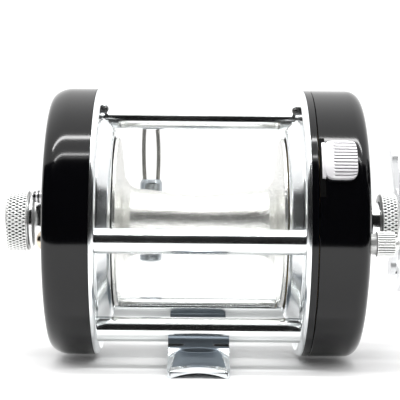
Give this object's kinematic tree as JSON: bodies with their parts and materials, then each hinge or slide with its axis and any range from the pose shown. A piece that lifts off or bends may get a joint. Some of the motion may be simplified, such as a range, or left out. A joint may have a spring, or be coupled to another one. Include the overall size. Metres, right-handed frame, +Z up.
{
  "type": "round level-wind trolling reel",
  "caption": "Round level-wind fishing reel with gloss-black side plates, chrome frame discs and pillars, satin spool, reel foot, star drag and a double handle.",
  "frame": {"origin": "middle of the reel foot's underside, in the plane that the foot stands on, with X = 0 in the middle between the two frame discs", "axes": "+X along the spool axis towards the handle, +Y away from the angler towards the line guide, +Z up"},
  "size_m": [0.1324, 0.0985, 0.0672],
  "materials": {
    "chrome_frame": "polished chrome",
    "chrome_pillar": "polished chrome",
    "chrome_foot": "polished chrome",
    "chrome_boss": "polished chrome",
    "chrome_knurl": "knurled chrome",
    "chrome_handle": "polished chrome",
    "chrome_guide": "polished chrome",
    "black_gloss": "gloss black",
    "dark_screw": "dark steel",
    "brass_screw": "tarnished brass",
    "spool_satin": "bead-blasted satin",
    "steel": "ground steel",
    "brass": "machined brass",
    "black_plastic": "moulded black",
    "button_chrome": "satin chrome"
  },
  "bodies": {
    "frame": {"left_frame_disc": "chrome_frame", "right_frame_disc": "chrome_frame", "rear_pillar": "chrome_pillar", "lower_rear_pillar": "chrome_pillar", "lower_front_pillar": "chrome_pillar", "top_pillar": "chrome_pillar", "frame_screws": "dark_screw", "worm_shield": "chrome_pillar", "reel_foot": "chrome_foot", "foot_rivets": "chrome_foot", "left_side_plate": "black_gloss", "left_boss": "chrome_boss", "left_plate_screws": "brass_screw", "click_backing_ring": "steel", "shaft_bushes": "brass", "right_ring": "black_gloss", "gear_bridge": "brass", "right_side_plate": "black_gloss", "right_boss": "chrome_boss", "drive_bush": "chrome_boss", "bridge_screws": "dark_screw", "bridge_posts": "steel", "yoke_springs": "steel", "brake_ring": "steel", "worm_bushes": "brass"},
    "spool": {"spool": "spool_satin", "spool_shaft": "steel", "shaft_pin": "steel", "click_wheel": "steel", "brake_blocks": "black_plastic"},
    "handle": {"drive_shaft": "steel", "main_gear": "brass", "worm_drive_gear": "brass", "ratchet_wheel": "steel", "drag_washers": "black_plastic", "pressure_disc": "steel", "spring_washers": "steel", "handle_spacer": "chrome_handle", "handle_arm": "chrome_handle", "handle_nut": "chrome_handle", "knob_posts": "chrome_handle"},
    "star": {"star_wheel": "chrome_handle"},
    "knob_1": {"handle_knob_1": "black_plastic"},
    "knob_2": {"handle_knob_2": "black_plastic"},
    "yoke": {"clutch_yoke": "steel"},
    "pinion": {"pinion": "brass"},
    "button": {"thumb_button": "button_chrome"},
    "dog": {"ratchet_dog": "steel"},
    "worm": {"worm_shaft": "steel", "worm_gear": "brass"},
    "guide": {"line_carriage": "chrome_guide", "guide_wires": "steel", "pawl_cap": "chrome_guide"},
    "pawl": {"pawl": "steel"},
    "click": {"click_button": "button_chrome"},
    "left_cap": {"left_bearing_cap": "chrome_knurl"},
    "right_cap": {"right_bearing_cap": "chrome_knurl"},
    "take_apart_1": {"thumb_screw_1": "chrome_knurl"},
    "take_apart_2": {"take_apart_screw_2": "chrome_knurl"},
    "take_apart_3": {"take_apart_screw_3": "chrome_knurl"}
  },
  "joints": [
    {"name": "handle_turn", "type": "hinge", "parent": "frame", "child": "handle", "pos_m": [0, 0.01668, 0.0362], "axis": [1, 0, 0], "continuous": true},
    {"name": "spool_spin", "type": "hinge", "parent": "frame", "child": "spool", "pos_m": [0, 0, 0.0342], "axis": [1, 0, 0], "continuous": true},
    {"name": "worm_spin", "type": "hinge", "parent": "frame", "child": "worm", "pos_m": [0, 0.02708, 0.0333], "axis": [1, 0, 0], "continuous": true},
    {"name": "button_press", "type": "hinge", "parent": "frame", "child": "button", "pos_m": [0, 0, 0.0342], "axis": [1, 0, 0], "range_deg": [0, 6], "stiffness_Nm_per_rad": 2},
    {"name": "yoke_slide", "type": "slide", "parent": "frame", "child": "yoke", "axis": [1, 0, 0], "range_m": [0, 0.0014], "deforming": ["yoke_springs"]},
    {"name": "pinion_spin", "type": "hinge", "parent": "yoke", "child": "pinion", "pos_m": [0, 0, 0.0342], "axis": [1, 0, 0], "continuous": true},
    {"name": "star_turn", "type": "hinge", "parent": "handle", "child": "star", "pos_m": [0, 0.01668, 0.0362], "axis": [1, 0, 0], "range_deg": [-150, 150]},
    {"name": "knob_1_spin", "type": "hinge", "parent": "handle", "child": "knob_1", "pos_m": [0, 0.05733, 0.0169], "axis": [1, 0, 0], "continuous": true},
    {"name": "knob_2_spin", "type": "hinge", "parent": "handle", "child": "knob_2", "pos_m": [0, -0.02397, 0.0555], "axis": [1, 0, 0], "continuous": true},
    {"name": "dog_swing", "type": "hinge", "parent": "frame", "child": "dog", "pos_m": [0, 0.01453, 0.02399], "axis": [1, 0, 0], "range_deg": [-12, 15]},
    {"name": "guide_slide", "type": "slide", "parent": "frame", "child": "guide", "axis": [1, 0, 0], "range_m": [-0.0045, 0.0303]},
    {"name": "pawl_swivel", "type": "hinge", "parent": "guide", "child": "pawl", "pos_m": [-0.0129, 0.02708, 0.027], "axis": [0, 0, 1], "range_deg": [-25, 25]},
    {"name": "click_slide", "type": "slide", "parent": "frame", "child": "click", "axis": [0, -0.8972, 0.4417], "range_m": [0, 0.003]},
    {"name": "left_cap_turn", "type": "hinge", "parent": "frame", "child": "left_cap", "pos_m": [0, 0, 0.0342], "axis": [1, 0, 0], "range_deg": [-180, 180]},
    {"name": "right_cap_turn", "type": "hinge", "parent": "frame", "child": "right_cap", "pos_m": [0, 0, 0.0342], "axis": [1, 0, 0], "range_deg": [-180, 180]},
    {"name": "take_apart_1_turn", "type": "hinge", "parent": "frame", "child": "take_apart_1", "pos_m": [0, -0.02577, 0.03076], "axis": [1, 0, 0], "range_deg": [-180, 180]},
    {"name": "take_apart_2_turn", "type": "hinge", "parent": "frame", "child": "take_apart_2", "pos_m": [0, 0.00991, 0.05824], "axis": [1, 0, 0], "range_deg": [-180, 180]},
    {"name": "take_apart_3_turn", "type": "hinge", "parent": "frame", "child": "take_apart_3", "pos_m": [0, 0.01586, 0.0136], "axis": [1, 0, 0], "range_deg": [-180, 180]}
  ],
  "couplings": [
    {"joint": "spool_spin", "follows": "handle_turn", "ratio": -4.0909},
    {"joint": "pinion_spin", "follows": "handle_turn", "ratio": -4.0909},
    {"joint": "worm_spin", "follows": "handle_turn", "ratio": -2.2727},
    {"joint": "yoke_slide", "follows": "button_press", "m_per_rad": 0.013369}
  ]
}
